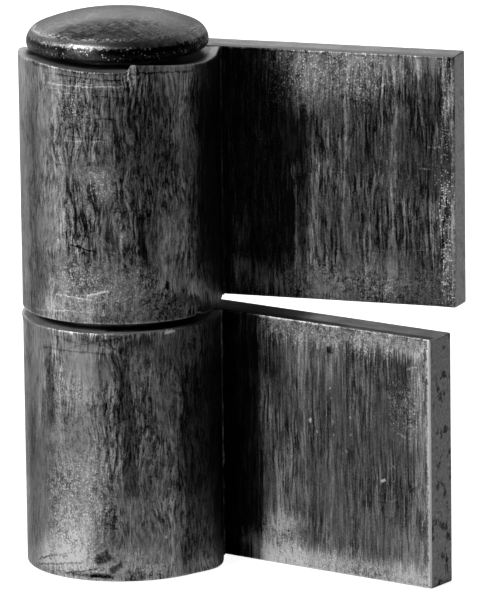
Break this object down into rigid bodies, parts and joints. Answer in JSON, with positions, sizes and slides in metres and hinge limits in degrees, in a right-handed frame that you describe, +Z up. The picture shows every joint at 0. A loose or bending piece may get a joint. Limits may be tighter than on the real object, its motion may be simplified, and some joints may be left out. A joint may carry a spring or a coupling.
{
  "type": "weld on barrel hinge",
  "caption": "Weld on barrel hinge: two leaves of thick plate, each rolled into a knuckle, turning on a headed steel pin with a thrust washer between.",
  "frame": {"origin": "on the pin's axis, at the underside of the lower knuckle", "axes": "+Z up along the pin towards its head; +X along the lower leaf, away from the knuckle; +Y out of the lower leaf's weld face"},
  "size_m": [0.0676, 0.046, 0.0885],
  "materials": {
    "brushed_black_steel": "mill scale brushed through to bare streaks",
    "oiled_black_steel": "forged and oiled, mottled black",
    "washer_steel": "dull, oiled"
  },
  "bodies": {
    "fixed_leaf": {"lower_leaf": "brushed_black_steel", "hinge_pin": "oiled_black_steel", "thrust_washer": "washer_steel"},
    "swinging_leaf": {"upper_leaf": "brushed_black_steel"}
  },
  "joints": [
    {"name": "leaf_swing", "type": "hinge", "parent": "fixed_leaf", "child": "swinging_leaf", "pos_m": [0, 0, 0.0614], "axis": [0, 0, 1], "continuous": true}
  ]
}
